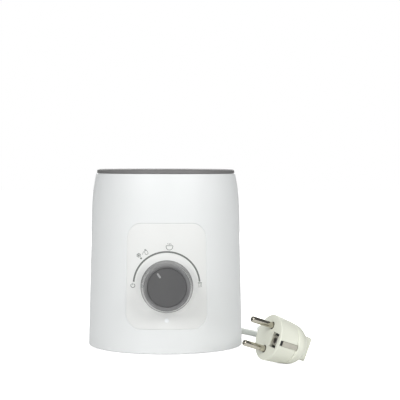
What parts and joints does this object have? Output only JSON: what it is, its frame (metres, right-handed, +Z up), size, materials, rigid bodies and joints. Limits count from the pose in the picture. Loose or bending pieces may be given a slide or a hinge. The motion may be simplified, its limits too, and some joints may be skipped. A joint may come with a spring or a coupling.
{
  "type": "bottle warmer",
  "caption": "Round table-top feeding-bottle warmer: tapered white shell, grey top ring round an open water well, front rotary knob, mains lead with a two-pin plug.",
  "frame": {"origin": "bottom centre, on the table, of the box round the object without its lead; the housing's own axis stands 5.85 mm behind it, because the knob sticks out in front", "axes": "+Z up along the water well, -Y out of the knob's face, +X to the right seen from the front"},
  "size_m": [0.1781, 0.2956, 0.15],
  "materials": {
    "white_shell": "glossy white moulded ABS, lightly polished",
    "panel_white": "satin off-white inlay with grey printed scale",
    "grey_trim": "satin dark grey moulded plastic",
    "pale_mark": "light grey pointer mark",
    "tank_plastic": "natural white polypropylene",
    "steel": "stainless and plated steel",
    "silicone": "translucent grey silicone",
    "foot_rubber": "matt black rubber",
    "board_green": "green solder mask",
    "black_plastic": "black moulded plastic",
    "lamp_clear": "clear lens lit white",
    "lead_sheath": "light grey-white PVC sheath, slight sheen",
    "plug_ivory": "ivory moulded PVC, satin",
    "nickel": "nickel-plated brass"
  },
  "bodies": {
    "warmer": {"outer_housing": "white_shell", "control_panel": "panel_white", "top_ring": "grey_trim", "water_tank": "tank_plastic", "heating_plate": "steel", "plate_seal": "silicone", "clamp_ring": "steel", "clamp_screw_1": "steel", "clamp_screw_2": "steel", "clamp_screw_3": "steel", "heating_element": "steel", "overheat_thermostat": "black_plastic", "thermal_fuse": "steel", "temperature_sensor": "steel", "control_board": "board_green", "board_screw_1": "steel", "board_screw_2": "steel", "relay": "black_plastic", "capacitor": "black_plastic", "control_chip": "black_plastic", "status_led": "lamp_clear", "led_lens": "lamp_clear", "rotary_control": "black_plastic", "base_plate": "white_shell", "rubber_foot_1": "foot_rubber", "rubber_foot_2": "foot_rubber", "rubber_foot_3": "foot_rubber", "rubber_foot_4": "foot_rubber", "base_screw_1": "steel", "base_screw_2": "steel", "base_screw_3": "steel", "base_screw_4": "steel", "cord_clamp": "tank_plastic", "cord_clamp_screw_1": "steel", "cord_clamp_screw_2": "steel", "terminal_block": "tank_plastic", "internal_lead": "lead_sheath", "live_wire": "lead_sheath", "neutral_wire": "lead_sheath", "earth_wire": "lead_sheath", "element_lead": "lead_sheath", "sensor_lead": "black_plastic", "cord_gland": "lead_sheath", "power_cord_lead": "lead_sheath", "power_cord_coil": "lead_sheath", "power_cord_tail": "lead_sheath", "cord_tie": "foot_rubber", "plug_body": "plug_ivory", "plug_pin_1": "nickel", "plug_pin_2": "nickel", "plug_earth_clip_1": "nickel", "plug_earth_clip_2": "nickel", "plug_earth_socket": "nickel", "plug_strain_relief": "plug_ivory"},
    "knob": {"knob_body": "grey_trim", "knob_cap": "grey_trim", "knob_pointer": "pale_mark", "knob_clip": "steel", "control_shaft": "steel"}
  },
  "joints": [
    {"name": "knob_turn", "type": "hinge", "parent": "warmer", "child": "knob", "pos_m": [0, -0.06125, 0.0559], "axis": [0, -1, 0], "range_deg": [-121, 55]}
  ]
}
